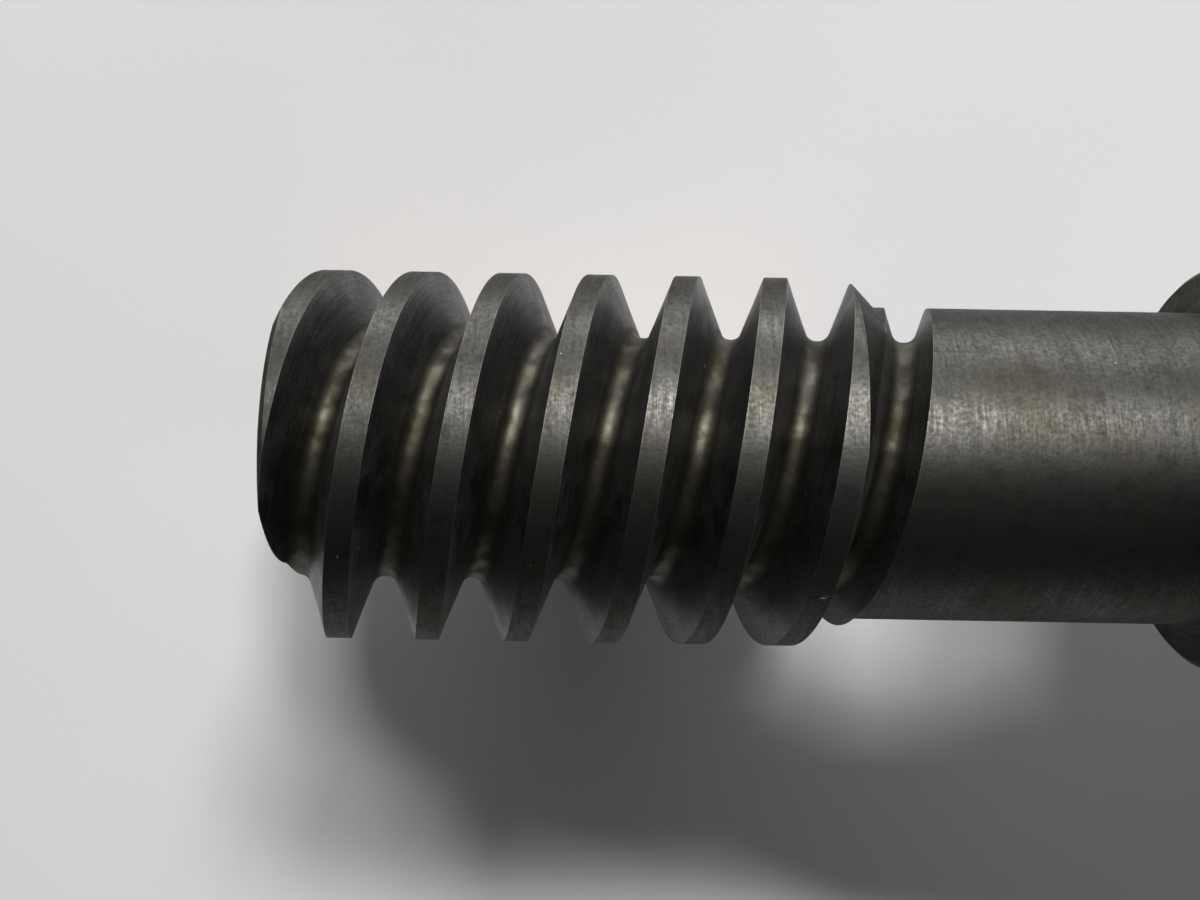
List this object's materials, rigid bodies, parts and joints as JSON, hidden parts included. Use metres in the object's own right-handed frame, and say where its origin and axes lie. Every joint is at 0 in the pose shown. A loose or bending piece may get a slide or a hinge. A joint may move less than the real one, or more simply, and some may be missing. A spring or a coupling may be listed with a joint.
{
  "type": "worm gear set",
  "caption": "Worm gear set: left-hand steel worm shaft overhung in two ball bearings, driving a bronze-rimmed wheel on a keyed steel hub.",
  "frame": {"origin": "centre of the worm wheel's bore, midway along the hub", "axes": "+X along the worm shaft towards its drive end, +Y along the wheel's bore, +Z from the wheel up to the worm"},
  "size_m": [0.1418, 0.04, 0.0754],
  "materials": {
    "worm_steel": "dark satin, hardened and oiled",
    "bearing_steel": "ground",
    "ball_steel": "polished",
    "cage_steel": "pressed sheet",
    "spacer_steel": "turned",
    "washer_steel": "stamped, zinc plated",
    "nut_steel": "black oxide",
    "rim_bronze": "hobbed bronze",
    "hub_steel": "turned",
    "screw_steel": "black oxide"
  },
  "bodies": {
    "housing_side": {"front_bearing_outer_ring": "bearing_steel", "rear_bearing_outer_ring": "bearing_steel", "outer_spacer": "spacer_steel"},
    "worm": {"worm_shaft": "worm_steel", "front_bearing_inner_ring": "bearing_steel", "rear_bearing_inner_ring": "bearing_steel", "inner_spacer": "spacer_steel", "tab_washer": "washer_steel", "lock_nut": "nut_steel"},
    "front_cage": {"front_bearing_balls": "ball_steel", "front_cage_left": "cage_steel", "front_cage_right": "cage_steel", "front_cage_rivets": "cage_steel"},
    "rear_cage": {"rear_bearing_balls": "ball_steel", "rear_cage_left": "cage_steel", "rear_cage_right": "cage_steel", "rear_cage_rivets": "cage_steel"},
    "wheel": {"worm_wheel_rim": "rim_bronze", "wheel_hub": "hub_steel", "rim_screws": "screw_steel", "rim_lock_washers": "washer_steel", "rim_dowels": "bearing_steel"}
  },
  "joints": [
    {"name": "worm_spin", "type": "hinge", "parent": "housing_side", "child": "worm", "pos_m": [0.0629, 0, 0.031], "axis": [1, 0, 0], "continuous": true},
    {"name": "wheel_spin", "type": "hinge", "parent": "housing_side", "child": "wheel", "pos_m": [0, 0, 0], "axis": [0, 1, 0], "continuous": true},
    {"name": "front_cage_spin", "type": "hinge", "parent": "housing_side", "child": "front_cage", "pos_m": [0.0489, 0, 0.031], "axis": [1, 0, 0], "continuous": true},
    {"name": "rear_cage_spin", "type": "hinge", "parent": "housing_side", "child": "rear_cage", "pos_m": [0.0769, 0, 0.031], "axis": [1, 0, 0], "continuous": true}
  ],
  "couplings": [
    {"joint": "wheel_spin", "follows": "worm_spin", "ratio": 0.066667},
    {"joint": "front_cage_spin", "follows": "worm_spin", "ratio": 0.38163},
    {"joint": "rear_cage_spin", "follows": "worm_spin", "ratio": 0.38163}
  ]
}
